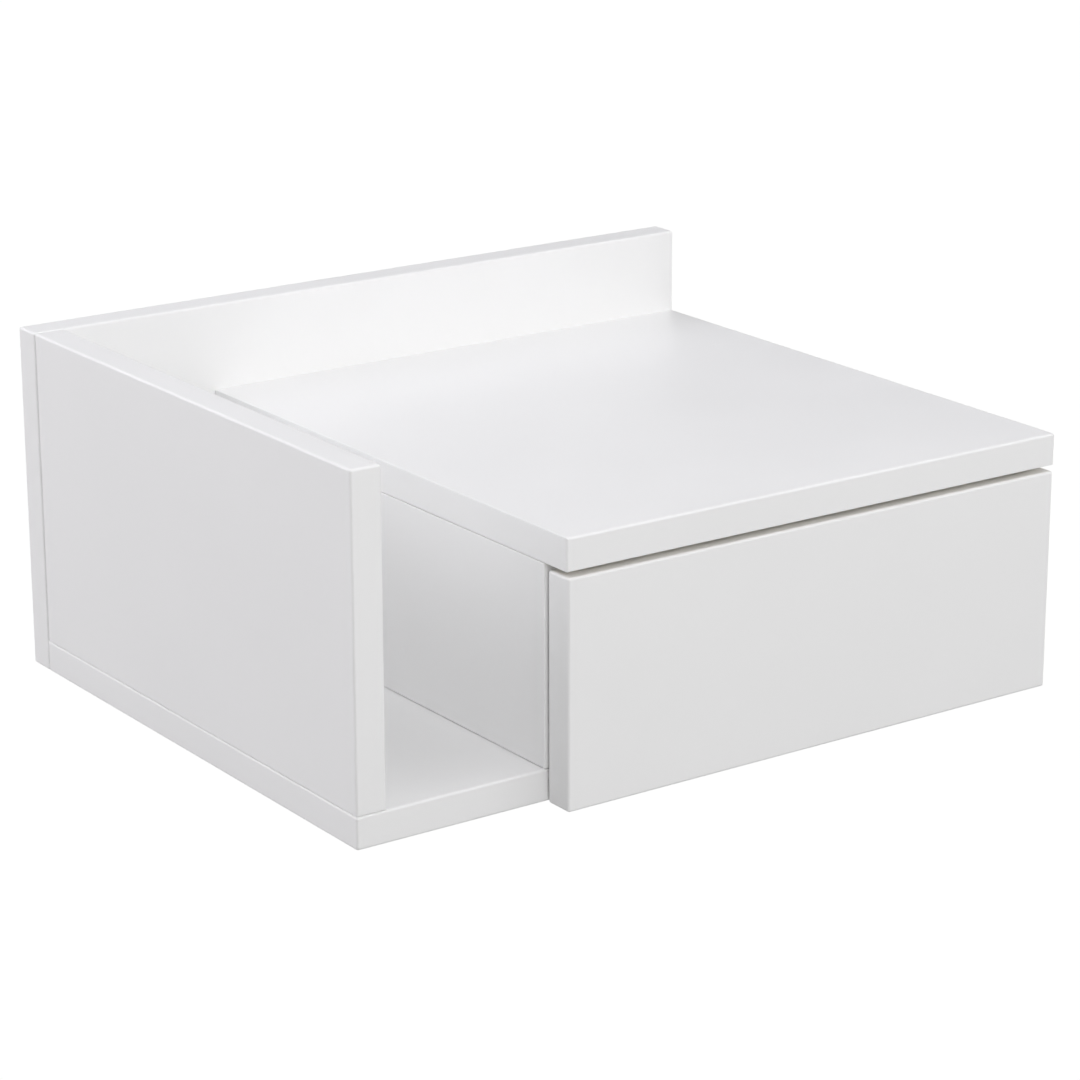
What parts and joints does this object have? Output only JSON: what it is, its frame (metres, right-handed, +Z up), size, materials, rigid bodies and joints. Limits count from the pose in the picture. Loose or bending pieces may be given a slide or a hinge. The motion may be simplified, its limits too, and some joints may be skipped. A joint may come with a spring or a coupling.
{
  "type": "floating nightstand",
  "caption": "Wall-hung nightstand of lacquered boards with an open side compartment and one handle-less drawer on roller runners.",
  "frame": {"origin": "centre of the back panel's rear face, in the plane of the wall", "axes": "+X to the right seen from the front, -Y towards the room, +Z up"},
  "size_m": [0.37, 0.305, 0.165],
  "materials": {
    "lacquered_mdf": "satin white lacquer on MDF, arrises eased by hand",
    "foiled_board": "matt white foil on chipboard, drawer box",
    "hardboard": "white-faced hardboard, drawer bottom",
    "enamelled_steel": "white enamelled sheet steel, runners",
    "nylon": "natural nylon, rollers",
    "zinc_steel": "zinc-plated steel, screws and axles",
    "clear_pad": "clear polyurethane bumper pads",
    "beech": "plain beech dowels"
  },
  "bodies": {
    "cabinet": {"back_panel": "lacquered_mdf", "bottom_panel": "lacquered_mdf", "left_side_panel": "lacquered_mdf", "divider_panel": "lacquered_mdf", "right_side_panel": "lacquered_mdf", "top_panel": "lacquered_mdf", "left_bumper_pad": "clear_pad", "right_bumper_pad": "clear_pad", "back_screw_1": "zinc_steel", "back_screw_2": "zinc_steel", "back_screw_3": "zinc_steel", "back_screw_4": "zinc_steel", "back_screw_5": "zinc_steel", "back_screw_6": "zinc_steel", "back_screw_7": "zinc_steel", "back_screw_8": "zinc_steel", "back_screw_9": "zinc_steel", "base_screw_1": "zinc_steel", "base_screw_2": "zinc_steel", "base_screw_3": "zinc_steel", "base_screw_4": "zinc_steel", "base_screw_5": "zinc_steel", "base_screw_6": "zinc_steel", "top_dowel_1": "beech", "top_dowel_2": "beech", "top_dowel_3": "beech", "top_dowel_4": "beech", "left_cabinet_runner": "enamelled_steel", "right_cabinet_runner": "enamelled_steel", "left_cabinet_axle": "zinc_steel", "right_cabinet_axle": "zinc_steel", "left_cabinet_runner_screw_1": "zinc_steel", "left_cabinet_runner_screw_2": "zinc_steel", "right_cabinet_runner_screw_1": "zinc_steel", "right_cabinet_runner_screw_2": "zinc_steel"},
    "drawer": {"drawer_front": "lacquered_mdf", "drawer_box_front": "foiled_board", "drawer_box_back": "foiled_board", "drawer_left_side": "foiled_board", "drawer_right_side": "foiled_board", "drawer_bottom": "hardboard", "drawer_front_screw_1": "zinc_steel", "drawer_front_screw_2": "zinc_steel", "drawer_front_screw_3": "zinc_steel", "drawer_front_screw_4": "zinc_steel", "left_drawer_runner": "enamelled_steel", "right_drawer_runner": "enamelled_steel", "left_drawer_axle": "zinc_steel", "right_drawer_axle": "zinc_steel", "left_drawer_runner_screw_1": "zinc_steel", "left_drawer_runner_screw_2": "zinc_steel", "right_drawer_runner_screw_1": "zinc_steel", "right_drawer_runner_screw_2": "zinc_steel"},
    "left_cabinet_wheel": {"left_cabinet_roller": "nylon"},
    "right_cabinet_wheel": {"right_cabinet_roller": "nylon"},
    "left_drawer_wheel": {"left_drawer_roller": "nylon"},
    "right_drawer_wheel": {"right_drawer_roller": "nylon"}
  },
  "joints": [
    {"name": "drawer_slide", "type": "slide", "parent": "cabinet", "child": "drawer", "axis": [0, -1, 0], "range_m": [0, 0.1847]},
    {"name": "left_cabinet_roller_spin", "type": "hinge", "parent": "cabinet", "child": "left_cabinet_wheel", "pos_m": [-0.0702, -0.2745, -0.0544], "axis": [1, 0, 0], "continuous": true},
    {"name": "right_cabinet_roller_spin", "type": "hinge", "parent": "cabinet", "child": "right_cabinet_wheel", "pos_m": [0.1652, -0.2745, -0.0544], "axis": [1, 0, 0], "continuous": true},
    {"name": "left_drawer_roller_spin", "type": "hinge", "parent": "drawer", "child": "left_drawer_wheel", "pos_m": [-0.0702, -0.052, -0.0507], "axis": [1, 0, 0], "continuous": true},
    {"name": "right_drawer_roller_spin", "type": "hinge", "parent": "drawer", "child": "right_drawer_wheel", "pos_m": [0.1652, -0.052, -0.0507], "axis": [1, 0, 0], "continuous": true}
  ],
  "couplings": [
    {"joint": "left_cabinet_roller_spin", "follows": "drawer_slide", "rad_per_m": 111.11},
    {"joint": "right_cabinet_roller_spin", "follows": "drawer_slide", "rad_per_m": 111.11},
    {"joint": "left_drawer_roller_spin", "follows": "drawer_slide", "rad_per_m": 111.11},
    {"joint": "right_drawer_roller_spin", "follows": "drawer_slide", "rad_per_m": 111.11}
  ]
}
